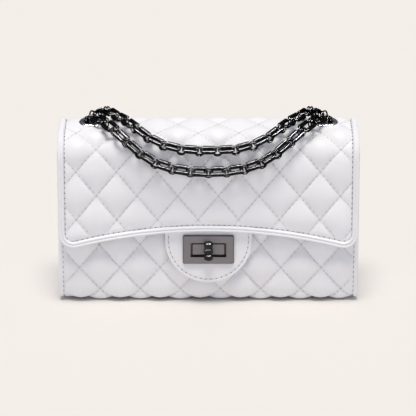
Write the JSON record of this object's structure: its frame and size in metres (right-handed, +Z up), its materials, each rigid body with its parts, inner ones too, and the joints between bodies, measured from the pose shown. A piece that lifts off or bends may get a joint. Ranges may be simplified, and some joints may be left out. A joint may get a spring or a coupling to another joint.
{
  "type": "chain shoulder bag",
  "caption": "Quilted leather shoulder bag with a bound front flap, a tongue with a turn lock, and a doubled chain strap through eyelets in the flap's top.",
  "frame": {"origin": "centre of the base's underside", "axes": "+X to the right as seen from the front, -Y out of the front, +Z up"},
  "size_m": [0.262, 0.0949, 0.1677],
  "materials": {
    "white_leather": "smooth semi-matt",
    "lining_cloth": "plain weave",
    "stiff_board": "plain",
    "satin_gunmetal": "satin",
    "plain_steel": "plain",
    "black_metal": "gloss",
    "eyelet_gunmetal": "polished",
    "chain_gunmetal": "polished"
  },
  "bodies": {
    "body": {"front_panel": "white_leather", "back_panel": "white_leather", "base_panel": "white_leather", "left_gusset": "white_leather", "right_gusset": "white_leather", "front_mouth_binding": "white_leather", "hinge_roll": "white_leather", "lining_wrap": "lining_cloth", "lining_left": "lining_cloth", "lining_right": "lining_cloth", "front_board": "stiff_board", "back_board": "stiff_board", "base_board": "stiff_board", "lock_base": "satin_gunmetal", "lock_back_plate": "plain_steel", "lock_rivets": "plain_steel", "lock_spring_washer": "plain_steel"},
    "knob": {"lock_knob": "black_metal", "lock_spindle": "plain_steel", "lock_retainer": "plain_steel"},
    "flap": {"flap_outer": "white_leather", "flap_lining": "lining_cloth", "flap_binding": "white_leather", "tab_outer": "white_leather", "tab_lining": "lining_cloth", "lock_faceplate": "satin_gunmetal", "faceplate_backing": "plain_steel", "faceplate_screws": "plain_steel", "eyelet_front_left": "eyelet_gunmetal", "eyelet_front_right": "eyelet_gunmetal", "eyelet_back_left": "eyelet_gunmetal", "eyelet_back_right": "eyelet_gunmetal", "eyelet_washers": "eyelet_gunmetal", "through_links": "chain_gunmetal", "inner_links": "chain_gunmetal", "inner_rings": "chain_gunmetal"},
    "front_strand": {"front_chain_links": "chain_gunmetal", "front_chain_rings": "chain_gunmetal", "front_chain_end_rings": "chain_gunmetal"},
    "back_strand": {"back_chain_links": "chain_gunmetal", "back_chain_rings": "chain_gunmetal", "back_chain_end_rings": "chain_gunmetal"}
  },
  "joints": [
    {"name": "flap_hinge", "type": "hinge", "parent": "body", "child": "flap", "pos_m": [0, 0.03147, 0.1265], "axis": [-1, 0, 0], "range_deg": [0, 120]},
    {"name": "knob_turn", "type": "hinge", "parent": "body", "child": "knob", "pos_m": [0, -0.03859, 0.051], "axis": [0, -0.9981, 0.061], "range_deg": [0, 90]},
    {"name": "front_strand_swing", "type": "hinge", "parent": "flap", "child": "front_strand", "pos_m": [0, -0.00785, 0.16214], "axis": [-1, 0, 0], "range_deg": [0, 110]},
    {"name": "back_strand_swing", "type": "hinge", "parent": "flap", "child": "back_strand", "pos_m": [0, 0.02984, 0.14364], "axis": [-1, 0, 0], "range_deg": [0, 110]}
  ]
}
